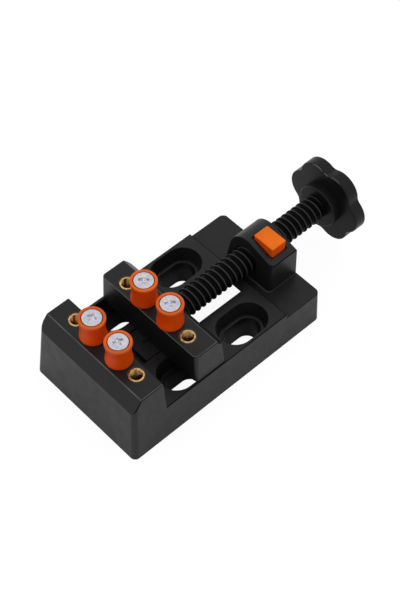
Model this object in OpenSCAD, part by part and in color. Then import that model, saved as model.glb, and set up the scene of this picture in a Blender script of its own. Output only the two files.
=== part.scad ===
// Mini table vise: a moulded base with a fixed jaw, a sliding jaw on a keeper plate,
// a coarse plastic lead screw with a six-lobed knob, and a sprung half nut that a
// push button lowers to free the screw. Four grooved posts stand in threaded inserts.
// Millimetres, +Z up. The knob is at +Y and the fixed jaw at -Y. The origin is under
// the middle of the whole vise, on the surface that it stands on.

/* [Base] */
// Width of the base where it stands
base_w = 60; // [56:1:80]
// Length of the base
base_l = 103.6; // [97:0.2:125]
// Height of the deck that the sliding jaw runs on
deck_h = 18.75; // [17.5:0.25:20]
// Drop from the deck to the rear platform
step_drop = 2.25; // [1:0.25:3]
// Length of the rear platform behind the deck
rear_l = 19.6; // [19:0.2:26]
// Thickness of the deck plate
deck_t = 2.8; // [2:0.1:3.4]
// Thickness of the moulded walls
wall = 2.4; // [1.8:0.1:3]
// Lean of the base's long sides, in degrees
side_lean = 3.7; // [1:0.1:4.5]
// Lean of the base's front face, in degrees
front_lean = 4.3; // [1:0.1:6]
// Radius of the base's upright corners
corner_r = 2.6; // [1:0.1:4]

/* [Fixed jaw] */
// Height of both jaws above the surface that the base stands on
jaw_h = 34.45; // [33:0.25:38]
// Thickness of the fixed jaw at its top
fixed_jaw_t = 17.5; // [17:0.25:22]
// How far the bevel on the fixed jaw's front edge runs back
bevel_run = 4.3; // [1:0.1:5]
// How far that bevel drops
bevel_drop = 6.5; // [2:0.1:8]
// Lean of the fixed jaw's gripping face, in degrees
grip_lean = 3.2; // [0:0.1:4]

/* [Sliding jaw] */
// Gap between the jaws as the vise is shown
jaw_gap = 16.8; // [4:0.2:48]
// Thickness of the sliding jaw's flat top
slide_jaw_t = 11.7; // [11:0.1:14]
// How far the rear bevel runs back
rear_bevel_run = 3.3; // [1:0.1:4]
// How far the rear bevel drops
rear_bevel_drop = 4.25; // [2:0.25:6]
// Lean of the rear face under the bevel, in degrees
rear_lean = 7.5; // [2:0.5:10]
// Width of the sliding jaw at its top
slide_jaw_w = 55; // [52:0.5:56]
// Lean of the sliding jaw's ends, in degrees
slide_side_lean = 3; // [1:0.1:4]
// Gap left between the posts of the two jaws when the vise is closed
closed_gap = 0.3; // [0.3:0.1:4]

/* [Guide slot and keeper] */
// Width of the long slot in the deck
slot_w = 14.8; // [14:0.2:15.4]
// Length of deck left between the slot and the rear platform
slot_end = 4.3; // [4.2:0.1:14]
// Gap on each side of the tongue in the slot
slot_play = 0.3; // [0.15:0.05:0.5]
// How far the tongue reaches in front of the sliding jaw
tongue_lead = 7; // [4:0.5:9]
// Length of the tongue
tongue_l = 17.7; // [17:0.1:19]
// Running gap between sliding faces
slide_gap = 0.2; // [0.1:0.05:0.4]
// Thickness of the keeper plate
keeper_t = 2.4; // [2:0.1:3]
// How far the keeper reaches under the deck on each side
keeper_lap = 1.9; // [1.2:0.1:2]
// Length of the keeper plate
keeper_l = 23.5; // [22.5:0.5:24.5]

/* [Bench slots] */
// Distance between the left and right slots
bench_x = 39; // [39:0.1:40]
// Middle of the front slots, from the front of the base
bench_front = 35.4; // [34:0.1:37]
// Middle of the rear slots, from the rear end of the deck
bench_rear = 16.5; // [14:0.1:18]
// Distance between the end centres of each slot
bench_run = 7.6; // [3:0.2:8]
// Radius of the wide upper part at the deck
bench_r = 8; // [6.5:0.1:8]
// Radius of the wide upper part at its ledge
bench_foot_r = 6.4; // [6:0.1:6.5]
// Radius of the through slot
bolt_r = 4.6; // [3:0.1:4.8]
// Radius of the through slot where it opens into the ledge
bolt_mouth_r = 5.1; // [4.9:0.1:5.6]
// Depth of the wide upper part
bench_depth = 6.4; // [3:0.1:8]
// Wall around each slot under the deck
bench_wall = 1.6; // [1:0.1:1.6]

/* [Lead screw] */
// Height of the screw's axis above the surface that the base stands on
axis_h = 24.7; // [24:0.1:25.5]
// Radius over the thread
crest_r = 5.7; // [5.2:0.1:5.8]
// Depth of the thread
thread_d = 0.65; // [0.5:0.05:1]
// Advance of the screw in one turn
pitch = 2.9; // [2.4:0.1:3.2]
// Flat width of the thread's crest
crest_w = 0.4; // [0.3:0.05:0.8]
// Flat width of the thread's root
root_w = 1.2; // [0.8:0.05:1.4]
// Radius of the collar that the fork holds
collar_r = 4.6; // [4:0.1:4.7]
// Radius of the neck inside the fork
neck_r = 3; // [2.5:0.1:3.4]
// Clearance of the screw in its plain holes
screw_play = 0.35; // [0.25:0.05:0.5]

/* [Knob] */
// Gap between the base and the knob with the jaws closed
knob_clear = 11.35; // [10:0.05:28]
// Radius of the hub
hub_r = 9.9; // [8.5:0.1:11]
// Length of the hub in front of the lobed disc
hub_l = 4; // [2:0.1:6]
// Thickness of the lobed disc
disc_t = 5.8; // [4.5:0.1:8]
// Radius over the lobes
knob_r = 19; // [16:0.1:21]
// Number of lobes
lobes = 6; // [5:1:7]
// Radius of a lobe's end
lobe_r = 8.8; // [6.5:0.1:9.5]
// Radius of the hollow between two lobes
notch_r = 3.8; // [2:0.1:6]
// Turn of the knob as the vise is shown, in degrees
knob_turn = 29; // [0:1:59]

/* [Release button] */
// Width of the button across the vise
button_w = 10.8; // [9.5:0.1:11.5]
// Length of the button along the vise
button_l = 7.7; // [6:0.1:8.2]
// Height of the button's top above the surface that the base stands on
button_h = 37; // [36.8:0.1:39]
// Left side of the button, from the screw's axis
button_x = 0.2; // [0:0.1:1]
// Front of the button, from the front of the boss
button_set = 4.6; // [4.2:0.1:4.8]
// Travel of the button
button_travel = 1.7; // [1.2:0.1:1.9]
// Gap around the button in its shaft
button_play = 0.4; // [0.3:0.05:0.5]
// Clearance between the screw's thread and the half nut
thread_play = 0.22; // [0.15:0.01:0.3]

/* [Release spring] */
// Number of curls in the spring
curls = 5; // [4:1:6]
// Radius of the spring's wire
wire_r = 0.35; // [0.25:0.05:0.45]
// Radius of the spring at the middle of its wire
coil_r = 2.5; // [2:0.1:2.7]

/* [Screw boss] */
// Length of the boss at its foot, up to the rear of the base
boss_l = 16.1; // [15.8:0.1:17.1]
// Right side of the boss, from the screw's axis
boss_right = 15; // [14.8:0.1:17]
// Left side of the boss at its foot, from the screw's axis
boss_left = 10.6; // [9.5:0.1:12]
// Height of the boss's rounded crown
crown_h = 35.5; // [34.5:0.1:36.5]
// Radius of that crown
crown_r = 9; // [7.5:0.1:9.4]
// Height of the boss's right shoulder
shoulder_h = 31.6; // [30.5:0.1:32.5]

/* [Inserts and posts] */
// Distance of the inner inserts from the middle
inner_x = 7.6; // [7.4:0.1:8.5]
// Distance of the outer inserts from the middle
outer_x = 17.6; // [16:0.1:18.5]
// Distance of the fixed inserts from the gripping face's top
fixed_set = 4.6; // [4.4:0.1:6]
// Distance of the sliding inserts from the sliding jaw's face
slide_set = 5.1; // [4.8:0.1:5.4]
// Outer radius of an insert
insert_r = 3.2; // [2.9:0.05:3.3]
// Radius inside an insert's thread
insert_bore = 2.1; // [1.9:0.05:2.3]
// Length of an insert
insert_l = 6.5; // [4.5:0.1:6.7]
// Radius of a post's rims
post_r = 5.55; // [5.2:0.05:5.8]
// Radius of a post's waist
waist_r = 5.05; // [4.4:0.05:5.1]
// Height of a post
post_h = 11.4; // [8:0.05:14]
// Height of each rim's straight edge
rim_h = 1; // [0.8:0.1:2]
// Radius of a post screw's head
head_r = 4.05; // [3.8:0.05:4.3]
// Height of a post screw's head
head_h = 2.6; // [1.5:0.1:3]
// Radius of a post screw's shank
shank_r = 2.45; // [2.2:0.05:2.6]
// Length of a post screw under its head
shank_l = 13.4; // [10:0.1:14]

/* [Hidden] */
$fn = 64;

// A cut runs this much past the face that it opens
cut = 1;
// Gap around what is pressed into a moulding
seat_gap = 0.05;
// Colours
black = [0.09, 0.09, 0.095];
orange = [0.86, 0.33, 0.06];
brass = [0.78, 0.6, 0.3];
plated = [0.78, 0.78, 0.8];

// Lean of the base's rear, and of the boss's front and sides
rear_draft = 0.6;
boss_lean = 4.5;
boss_side_lean = 1.6;
// How far the boss stands in from the base's rear face
boss_inset = 0.3;
// Rounded upright corners of the boss, the sliding jaw, the keeper and the button
boss_corner_r = 2;
jaw_corner_r = 1.8;
keeper_corner_r = 1.5;
button_corner_r = 0.5;
// The crown's middle, from the screw's axis
crown_x = -0.4;
// Thickness of the rear platform, and how far it runs under the deck
rear_t = 2.2;
step_lap = 2;
// Walls and floor around the inserts, the rib that joins them, the solid core of the jaw
column_wall = 1.6;
column_floor = 1.6;
rib_t = 1.6;
core_x = 12.8;
// Height of the flare at the top of a through slot
bolt_flare = 4;
// Gap under the sliding jaw
ride_gap = 0.1;
// Small mark in the tongue at the foot of the sliding jaw
mark_r = 1;
mark_depth = 0.8;
// Reach of the keeper before the tongue's front end, and start of the fork behind it
keeper_lead = 3.8;
fork_set = 14.1;
// Keeper screws
keeper_hole_x = 4.4;
keeper_hole_set = 2.3;
keeper_screw_l = 5;
// Small screws
small_r = 1.35;
small_head_r = 2.2;
small_head_h = 1.2;
small_core_r = 1.05;
small_cross_l = 2.4;
small_cross_w = 0.7;
pilot_r = 1.1;
// Fork
fork_t = 2;
fork_w = 10.6;
fork_short = 0.6;
end_play = 0.2;
journal_lead = 2.4;
root_lap = 0.5;
// Threads: strips in one turn, a crest's place over the axis, start behind the jaw's foot
thread_sides = 18;
thread_mark = 71.4;
thread_set = 0.4;
// Keyed shank in the knob and the screw that holds it
shank_end_r = 4;
flat_x = 2.8;
recess_r = 4.6;
recess_depth = 2.4;
knob_screw_r = 1.5;
knob_screw_l = 9;
knob_head_gap = 1;
knob_head_drop = 0.4;
knob_cross_l = 4;
knob_floor = 1;
// Half nut: left side from the axis, drop of its top under the axis, gap over it
saddle_left = 6.2;
saddle_drop = 3.4;
up_stop = 0.2;
shaft_wall = 1.8;
leg_gap = 0.3;
// Cover under the shaft, its screws, its gap to the rear wall, and the spring on it
cover_top = 4;
cover_t = 2;
cover_post_r = 2.9;
post_lap = 0.5;
cover_screw_l = 7;
cover_gap = 0.3;
spring_l = 8;
peg_r = 1.7;
peg_l = 1.2;
// Insert details
lead_in = 0.35;
groove_w = 1.2;
groove_d = 0.4;
// Post details
rim_bevel = 0.3;
head_gap = 0.3;
shank_gap = 0.25;
tip_gap = 0.2;
head_proud = 0.35;
cross_l = 4.8;
cross_w = 1;
head_turns = [20, 75, 46, 60];

// Places along the vise, measured back from the front of the base
face_y = fixed_jaw_t + jaw_gap;
step_y = base_l - rear_l;
bench_y = step_y - bench_rear - bench_front;
boss_y = base_l - boss_l;
button_y = boss_y + button_set;
rear_h = deck_h - step_drop;
ledge_z = deck_h - bench_depth;
under_deck = deck_h - deck_t;
under_rear = rear_h - rear_t;
grip_foot = fixed_jaw_t + (jaw_h - deck_h) * tan(grip_lean);
slide_back = face_y + slide_jaw_t;
fixed_row = fixed_jaw_t - fixed_set;
slide_row = face_y + slide_set;
tongue_y = face_y - tongue_lead;
tongue_end = tongue_y + tongue_l;
slot_rear = step_y - slot_end;
travel_in = slide_row - fixed_row - 2 * post_r - closed_gap;
travel_out = slot_rear - slide_gap - tongue_end;
slot_front = tongue_y - travel_in - slide_gap;
hub_y = base_l + knob_clear + travel_in;
overall_l = hub_y + hub_l + disc_t;
mid_y = overall_l / 2;
echo(travel_in = travel_in, travel_out = travel_out, slot_front = slot_front);

// Heights and places of the sliding parts
ride_z = deck_h + ride_gap;
bevel_end = slide_back + rear_bevel_run;
jaw_foot_y = bevel_end + (jaw_h - rear_bevel_drop - ride_z) * tan(rear_lean);
keeper_top = under_deck - slide_gap;
keeper_y = tongue_y - keeper_lead;
keeper_holes = [for (s = [-1, 1]) [s * keeper_hole_x, face_y + keeper_hole_set]];
fork_y = tongue_y + fork_set;
fork_top = axis_h + neck_r - fork_short;
journal_y = fork_y - end_play - journal_lead;
thread_y = jaw_foot_y + thread_set;
shank_end_y = overall_l - recess_depth - knob_floor;

// Heights and places of the release button and what carries it
saddle_top = axis_h - saddle_drop;
head_z = axis_h + crest_r + screw_play + button_travel;
saddle_z = cover_top + spring_l;
spring_x = (button_x + button_w - saddle_left) / 2;
cover_y0 = button_y - button_play - shaft_wall;
cover_y1 = base_l - wall - cover_gap;
cover_holes = [for (x = [-saddle_left - button_play - shaft_wall - cover_post_r + post_lap,
  button_x + button_w + button_play + shaft_wall + cover_post_r - post_lap])
  [x, button_y + button_l / 2]];

// The four inserts of a jaw: the inner pair carries the posts
insert_x = [-outer_x, -inner_x, inner_x, outer_x];
insert_places = [for (row = [fixed_row, slide_row], x = insert_x) [x, row]];
post_places = [for (row = [fixed_row, slide_row], x = [-inner_x, inner_x]) [x, row]];

module place() {
  translate([0, -mid_y, 0]) children();
}

// Lays a section drawn across Y and Z along X, centred
module along_x(width) {
  rotate([90, 0, 90]) translate([0, 0, -width / 2]) linear_extrude(width) children();
}

// Lays a section drawn across X and Z along Y, from y0 to y1
module along_y(y0, y1) {
  translate([0, y1, 0]) rotate([90, 0, 0]) linear_extrude(y1 - y0) children();
}

// A cylinder along Y about the screw's axis
module axis_rod(r, y0, y1) {
  translate([0, y0, axis_h]) rotate([-90, 0, 0]) cylinder(r = r, h = y1 - y0);
}

module block(low, high) {
  translate(low) cube(high - low);
}

module rounded_rect(low, high, r) {
  translate([low[0] + r, low[1]]) square([high[0] - low[0] - 2 * r, high[1] - low[1]]);
  translate([low[0], low[1] + r]) square([high[0] - low[0], high[1] - low[1] - 2 * r]);
  for (x = [low[0] + r, high[0] - r], y = [low[1] + r, high[1] - r])
    translate([x, y]) circle(r, $fn = 32);
}

// A bar along Y whose sides close in with height, w wide at height z
module leaning_bar(w, z, h, side, y0, y1) {
  top = w / 2 - h * tan(side);
  low = w / 2 + cut * tan(side);
  along_y(y0, y1) polygon([[-low, z - cut], [low, z - cut], [top, z + h], [-top, z + h]]);
}

// Planes that round off the leaning corner at +X -Y, whose point at height z is at x, y
module corner_cut(x, y, z, side, front, r) {
  for (a = [22.5, 45, 67.5]) {
    lean = atan(cos(a) * tan(side) + sin(a) * tan(front));
    translate([x - r + r * cos(a), y + r - r * sin(a), z]) rotate([0, -lean, -a])
      block([0, -base_w, -base_w], [base_w, base_w, base_w]);
  }
}

// All four leaning corners of a block from y0 to y1
module corner_cuts(w, y0, y1, z, side, front, rear, r) {
  for (s = [0, 1]) mirror([s, 0, 0]) {
    corner_cut(w / 2, y0, z, side, front, r);
    mirror([0, 1, 0]) corner_cut(w / 2, -y1, z, side, rear, r);
  }
}

// A slot with round ends, lying along Y, whose wall leans from radius low to radius high
module stadium(low, high, run, z0, z1) {
  for (s = [-1, 1]) translate([0, s * run / 2, z0]) cylinder(r1 = low, r2 = high, h = z1 - z0);
  along_y(-run / 2, run / 2) polygon([[-low, z0], [low, z0], [high, z1], [-high, z1]]);
}

module at_benches() {
  for (x = [-bench_x / 2, bench_x / 2], y = [bench_front, bench_front + bench_y])
    translate([x, y, 0]) children();
}

// The outer form of the base and the fixed jaw, seen from the side
module base_side() {
  bevel_z = jaw_h - bevel_drop;
  bevel_y = bevel_z * tan(front_lean);
  polygon([[0, 0], [bevel_y, bevel_z], [bevel_y + bevel_run, jaw_h], [fixed_jaw_t, jaw_h],
    [grip_foot, deck_h], [step_y, deck_h], [step_y, rear_h],
    [base_l - rear_h * tan(rear_draft), rear_h], [base_l, 0]]);
}

// The hollow under the deck and inside the fixed jaw, seen from the side
module hollow_side() {
  roof = jaw_h - wall;
  bevel_z = roof - bevel_drop;
  bevel_y = wall + bevel_z * tan(front_lean);
  polygon([[wall, -cut], [bevel_y, bevel_z], [bevel_y + bevel_run, roof],
    [fixed_jaw_t - wall, roof], [grip_foot - wall, deck_h], [grip_foot - wall, under_deck],
    [step_y - step_lap, under_deck], [step_y - step_lap, under_rear],
    [base_l - wall, under_rear], [base_l - wall, -cut]]);
}

// Where the line from p touches the circle of radius r about c, on the given side
function touch(p, c, r, side) =
  let (v = c - p, d = norm(v), a = atan2(v[1], v[0]), b = asin(r / d))
  p + sqrt(d * d - r * r) * [cos(a + side * b), sin(a + side * b)];

// The boss around the screw, seen along the screw
module boss_end() {
  crown = [crown_x, crown_h - crown_r];
  foot = [-boss_left, rear_h];
  shoulder = [boss_right - (shoulder_h - rear_h) * tan(boss_side_lean), shoulder_h];
  polygon([foot - [0, cut], foot, touch(foot, crown, crown_r, 1), crown,
    touch(shoulder, crown, crown_r, -1), shoulder,
    [boss_right + cut * tan(boss_side_lean), rear_h - cut]]);
  translate(crown) circle(crown_r);
}

module boss() {
  back = base_l - rear_h * tan(rear_draft) - boss_inset;
  top = crown_h + cut;
  difference() {
    intersection() {
      along_y(boss_y - cut, base_l) boss_end();
      along_x(base_w) polygon([[boss_y - cut * tan(boss_lean), rear_h - cut],
        [boss_y + (top - rear_h) * tan(boss_lean), top],
        [back - (top - rear_h) * tan(rear_draft), top], [back, rear_h], [back, rear_h - cut]]);
    }
    corner_cut(boss_right, boss_y, rear_h, boss_side_lean, boss_lean, boss_corner_r);
  }
}

// The shaft that the release button and its half nut travel in
module button_shaft() {
  y0 = button_y - button_play;
  y1 = button_y + button_l + button_play;
  right = button_x + button_w + button_play;
  block([button_x - button_play, y0, 0], [right, y1, crown_h + cut]);
  block([-saddle_left - button_play, y0, -cut], [right, y1, saddle_top + up_stop]);
}

// What stands inside the hollow: bench tubes, insert columns, the shaft's walls
module base_columns() {
  at_benches() {
    stadium(bench_foot_r + bench_wall, bench_r + bench_wall, bench_run,
      ledge_z - bench_wall, deck_h);
    stadium(bolt_mouth_r + bench_wall, bolt_mouth_r + bench_wall, bench_run, -3 * cut, deck_h);
  }
  column_z = jaw_h - insert_l - column_floor;
  for (x = insert_x) translate([x, fixed_row, column_z])
    cylinder(r = insert_r + column_wall, h = jaw_h - column_z);
  block([-outer_x, fixed_row - rib_t / 2, column_z], [outer_x, fixed_row + rib_t / 2, jaw_h]);
  block([-saddle_left - button_play - shaft_wall, button_y - button_play - shaft_wall, cover_top],
    [button_x + button_w + button_play + shaft_wall, button_y + button_l + button_play + shaft_wall,
     deck_h]);
  for (p = cover_holes) translate([p[0], p[1], cover_top])
    cylinder(r = cover_post_r, h = deck_h - cover_top);
}

module base_solid() {
  difference() {
    intersection() {
      leaning_bar(base_w, 0, jaw_h + cut, side_lean, -cut, base_l + cut);
      along_x(base_w + cut) base_side();
    }
    corner_cuts(base_w, 0, base_l, 0, side_lean, front_lean, rear_draft, corner_r);
  }
  boss();
}

module base_hollow() {
  difference() {
    intersection() {
      leaning_bar(base_w - 2 * wall, 0, jaw_h, side_lean, 0, base_l);
      along_x(base_w) hollow_side();
    }
    base_columns();
  }
}

module base() {
  color(black) place() difference() {
    base_solid();
    base_hollow();
    block([-slot_w / 2, slot_front, under_deck - cut], [slot_w / 2, slot_rear, deck_h + slide_gap]);
    at_benches() {
      stadium(bench_foot_r, bench_r, bench_run, ledge_z, deck_h);
      stadium(bench_r, bench_r, bench_run, deck_h - seat_gap, deck_h + cut);
      stadium(bolt_r, bolt_r, bench_run, -cut, ledge_z + cut);
      stadium(bolt_r, bolt_mouth_r, bench_run, ledge_z - bolt_flare, ledge_z);
    }
    for (x = insert_x) translate([x, fixed_row, jaw_h - insert_l])
      cylinder(r = insert_r + seat_gap, h = insert_l + cut);
    axis_rod(crest_r + screw_play, boss_y - cut, base_l + cut);
    button_shaft();
    for (p = cover_holes) translate([p[0], p[1], cover_top - cut])
      cylinder(r = pilot_r, h = cover_screw_l + cut);
  }
}

// The sliding jaw: hollow at both ends, solid round the screw's end
module jaw_solid() {
  h = jaw_h - ride_z;
  foot_w = slide_jaw_w + 2 * h * tan(slide_side_lean);
  difference() {
    intersection() {
      leaning_bar(foot_w, ride_z, h + cut, slide_side_lean, face_y - cut, jaw_foot_y + cut);
      along_x(foot_w + cut) polygon([[face_y, ride_z], [face_y, jaw_h], [slide_back, jaw_h],
        [bevel_end, jaw_h - rear_bevel_drop], [jaw_foot_y, ride_z]]);
    }
    corner_cuts(foot_w, face_y, jaw_foot_y, ride_z, slide_side_lean, 0, rear_lean, jaw_corner_r);
  }
}

module jaw_pockets() {
  roof = jaw_h - wall;
  back = bevel_end - wall;
  low_roof = jaw_h - rear_bevel_drop - wall;
  pocket_w = slide_jaw_w / 2 - wall - core_x;
  difference() {
    for (s = [-1, 1]) translate([s * (core_x + pocket_w / 2), 0, 0]) along_x(pocket_w)
      polygon([[face_y + wall, deck_h - cut], [face_y + wall, roof], [slide_back - wall, roof],
        [back, low_roof], [back, deck_h - cut]]);
    for (x = [-outer_x, outer_x]) translate([x, slide_row, jaw_h - insert_l - column_floor])
      cylinder(r = insert_r + column_wall, h = insert_l + column_floor);
  }
}

module moving_jaw() {
  tongue_x = slot_w / 2 - slot_play;
  color(black) place() difference() {
    union() {
      jaw_solid();
      block([-tongue_x, tongue_y, keeper_top], [tongue_x, tongue_end, deck_h - slide_gap]);
      block([-tongue_x, face_y + wall, deck_h - 2 * slide_gap],
        [tongue_x, tongue_end, ride_z + cut]);
    }
    jaw_pockets();
    for (x = insert_x) translate([x, slide_row, jaw_h - insert_l])
      cylinder(r = insert_r + seat_gap, h = insert_l + cut);
    axis_rod(collar_r + screw_play, journal_y - screw_play, jaw_foot_y + cut);
    block([-fork_w / 2 - seat_gap, fork_y - seat_gap, keeper_top - cut],
      [fork_w / 2 + seat_gap, fork_y + fork_t + seat_gap, fork_top + seat_gap]);
    for (p = keeper_holes) translate([p[0], p[1], keeper_top - cut])
      cylinder(r = pilot_r, h = keeper_screw_l + cut);
    translate([0, face_y - mark_r, deck_h - slide_gap - mark_depth])
      cylinder(r = mark_r, h = mark_depth + cut, $fn = 32);
  }
}

// The plate that holds the sliding jaw down from under the deck
module slide_keeper() {
  x = slot_w / 2 + keeper_lap;
  color(black) place() difference() {
    translate([0, 0, keeper_top - keeper_t]) linear_extrude(keeper_t)
      rounded_rect([-x, keeper_y], [x, keeper_y + keeper_l], keeper_corner_r);
    for (p = keeper_holes) translate([p[0], p[1], keeper_top - keeper_t - cut]) {
      cylinder(r = small_r + seat_gap, h = keeper_t + 2 * cut);
      cylinder(r = small_head_r + seat_gap, h = small_head_h + cut);
    }
  }
}

// The fork that keeps the screw's grooved end in the sliding jaw
module screw_fork() {
  gap_x = neck_r + screw_play;
  color(plated) place() difference() {
    block([-fork_w / 2, fork_y, keeper_top], [fork_w / 2, fork_y + fork_t, fork_top]);
    axis_rod(gap_x, fork_y - cut, fork_y + fork_t + cut);
    block([-gap_x, fork_y - cut, axis_h], [gap_x, fork_y + fork_t + cut, fork_top + cut]);
  }
}

// A rod with one right-handed thread about the screw's axis, grown by play all round.
// Its faces follow the thread as strips, and a fan closes each end.
module threaded_rod(play, y0, y1) {
  n = thread_sides;
  top = crest_r + play;
  floor_r = crest_r - thread_d + play;
  half_crest = crest_w / 2 + play;
  half_root = root_w / 2 - play;
  profile = [[top, -half_crest], [top, half_crest], [floor_r, pitch / 2 - half_root],
    [floor_r, pitch / 2 + half_root]];
  first = thread_mark - pitch * ceil((thread_mark - y0) / pitch + 2);
  last = n * ceil((y1 - first) / pitch + 2);
  ring = [for (k = [0:last], q = profile)
    let (a = 360 * k / n)
    [q[0] * sin(a), first + pitch * k / n + q[1], axis_h + q[0] * cos(a)]];
  low = len(ring);
  points = concat(ring, [[0, first + pitch / 2, axis_h],
    [0, first + pitch * (last / n), axis_h]]);
  strips = [for (k = [0:last - 1], j = [0:2], t = [0, 1])
    let (a = 4 * k + j, b = a + 4)
    t == 0 ? [a, b, b + 1] : [a, b + 1, a + 1]];
  joins = [for (k = [0:last - n - 1], t = [0, 1])
    let (a = 4 * k + 3, b = a + 4, c = 4 * (k + n), d = c + 4)
    t == 0 ? [a, b, d] : [a, d, c]];
  low_loop = concat([for (k = [0:n]) 4 * k], [3, 2, 1]);
  high_loop = concat([4 * (last - n) + 3], [for (j = [0:2]) 4 * last + j],
    [for (k = [0:n - 1]) 4 * (last - k) + 3]);
  m = len(low_loop);
  caps = [for (i = [0:m - 1]) [low, low_loop[(i + 1) % m], low_loop[i]]];
  m2 = len(high_loop);
  caps2 = [for (i = [0:m2 - 1]) [low + 1, high_loop[i], high_loop[(i + 1) % m2]]];
  intersection() {
    polyhedron(points, concat(strips, joins, caps, caps2), convexity = 10);
    axis_rod(crest_r + 2, y0, y1);
  }
}

module shank_flat(extra) {
  translate([flat_x + extra, hub_y, axis_h - crest_r])
    cube([crest_r, overall_l, 2 * crest_r]);
}

module lead_screw() {
  color(black) place() difference() {
    union() {
      threaded_rod(0, thread_y, hub_y);
      axis_rod(collar_r, journal_y, fork_y - end_play);
      axis_rod(neck_r, fork_y - end_play - cut, fork_y + fork_t + end_play + cut);
      axis_rod(collar_r, fork_y + fork_t + end_play, thread_y + root_lap);
      difference() {
        axis_rod(shank_end_r, hub_y - cut, shank_end_y);
        shank_flat(0);
      }
    }
    axis_rod(knob_screw_r + seat_gap, shank_end_y - knob_screw_l, shank_end_y + cut);
  }
}

// The lobed outline: round lobes joined by round hollows, each touching the next
module star() {
  lobe_d = knob_r - lobe_r;
  half = 180 / lobes;
  reach = lobe_r + notch_r;
  notch_d = lobe_d * cos(half) + sqrt(pow(reach, 2) - pow(lobe_d * sin(half), 2));
  difference() {
    union() {
      polygon([for (i = [0:2 * lobes - 1])
        (i % 2 == 0 ? lobe_d : notch_d) * [sin(i * half), cos(i * half)]]);
      for (i = [0:lobes - 1]) rotate(i * 2 * half) translate([0, lobe_d]) circle(lobe_r);
    }
    for (i = [0:lobes - 1]) rotate((2 * i + 1) * half) translate([0, notch_d]) circle(notch_r);
  }
}

module star_knob() {
  color(black) place() difference() {
    union() {
      translate([0, 0, axis_h]) along_y(hub_y + hub_l, overall_l) rotate(-knob_turn) star();
      axis_rod(hub_r, hub_y, hub_y + hub_l + cut);
    }
    difference() {
      axis_rod(shank_end_r + seat_gap, hub_y - cut, shank_end_y + seat_gap);
      shank_flat(seat_gap);
    }
    axis_rod(knob_screw_r + seat_gap, hub_y, overall_l);
    axis_rod(recess_r, overall_l - recess_depth, overall_l + cut);
  }
}

// A pan head screw along -Z from the origin under its head, with a crossed recess
module crossed_screw(r, l, hr, hh, arm, arm_w) {
  difference() {
    union() {
      translate([0, 0, -l]) cylinder(r = r, h = l);
      cylinder(r = hr, h = hh);
    }
    for (a = [0, 90]) rotate(a)
      translate([-arm / 2, -arm_w / 2, hh / 2]) cube([arm, arm_w, hh]);
  }
}

module knob_screw() {
  color(plated) place() translate([0, overall_l - recess_depth, axis_h]) rotate([-90, 0, 0])
    crossed_screw(knob_screw_r, knob_screw_l, recess_r - knob_head_gap,
      recess_depth - knob_head_drop, knob_cross_l, cross_w);
}

// The release button in one piece: head, leg past the screw, half nut under it
module release_button() {
  y1 = button_y + button_l;
  x1 = button_x + button_w;
  leg_x = crest_r + screw_play + leg_gap;
  color(orange) place() difference() {
    union() {
      translate([0, 0, head_z]) linear_extrude(button_h - head_z)
        rounded_rect([button_x, button_y], [x1, y1], button_corner_r);
      block([leg_x, button_y + button_corner_r, saddle_z], [x1, y1 - button_corner_r, head_z + cut]);
      block([-saddle_left, button_y, saddle_z], [x1, y1, saddle_top]);
      translate([spring_x, button_y + button_l / 2, saddle_z - peg_l])
        cylinder(r = peg_r, h = peg_l + cut);
    }
    threaded_rod(thread_play, button_y - cut, y1 + cut);
  }
}

// One unbroken round wire wound upright between the cover and the half nut
function coil_point(t, a) =
  let (turn = 360 * t, lift = spring_l - 2 * wire_r, rise = lift / (360 * curls) * 180 / PI,
    tilt = atan(rise / coil_r), out = wire_r * cos(a), up = wire_r * sin(a))
  [(coil_r + out) * cos(turn) + up * sin(tilt) * sin(turn),
   (coil_r + out) * sin(turn) - up * sin(tilt) * cos(turn),
   wire_r + lift * t / curls + up * cos(tilt)];

module release_spring() {
  rings = 8 * curls;
  sides = 6;
  points = [for (i = [0:rings], j = [0:sides - 1]) coil_point(i / 8, 360 * j / sides)];
  around = [for (i = [0:rings - 1], j = [0:sides - 1], t = [0, 1])
    let (a = sides * i + j, b = sides * i + (j + 1) % sides)
    t == 0 ? [a, b, b + sides] : [a, b + sides, a + sides]];
  ends = [[for (j = [0:sides - 1]) sides - 1 - j], [for (j = [0:sides - 1]) sides * rings + j]];
  gap = min([for (i = [0:8], j = [0:sides - 1], k = [0:sides - 1])
    norm(points[sides * i + j] - points[sides * (i + 8) + k])]);
  echo(spring_gap = gap);
  color(plated) place() translate([spring_x, button_y + button_l / 2, cover_top])
    polyhedron(points, concat(around, ends), convexity = 6);
}

// The plate that closes the shaft from below and carries the spring
module latch_cover() {
  color(black) place() {
    difference() {
      translate([0, 0, cover_top - cover_t]) linear_extrude(cover_t)
        rounded_rect([cover_holes[0][0] - cover_post_r, cover_y0],
          [cover_holes[1][0] + cover_post_r, cover_y1], cover_post_r);
      for (p = cover_holes) translate([p[0], p[1], 0])
        cylinder(r = small_r + seat_gap, h = cover_top + cut);
    }
    translate([spring_x, button_y + button_l / 2, cover_top - cover_t / 2])
      cylinder(r = peg_r, h = peg_l + cover_t / 2);
  }
}

module keeper_screw(i) {
  p = keeper_holes[i - 1];
  color(plated) place() translate([p[0], p[1], keeper_top - keeper_t + small_head_h])
    rotate([180, 0, 0]) crossed_screw(small_core_r, keeper_screw_l, small_head_r,
      small_head_h, small_cross_l, small_cross_w);
}

module cover_screw(i) {
  p = cover_holes[i - 1];
  color(plated) place() translate([p[0], p[1], cover_top - cover_t]) rotate([180, 0, 0])
    crossed_screw(small_core_r, cover_screw_l, small_head_r, small_head_h, small_cross_l,
      small_cross_w);
}

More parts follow.
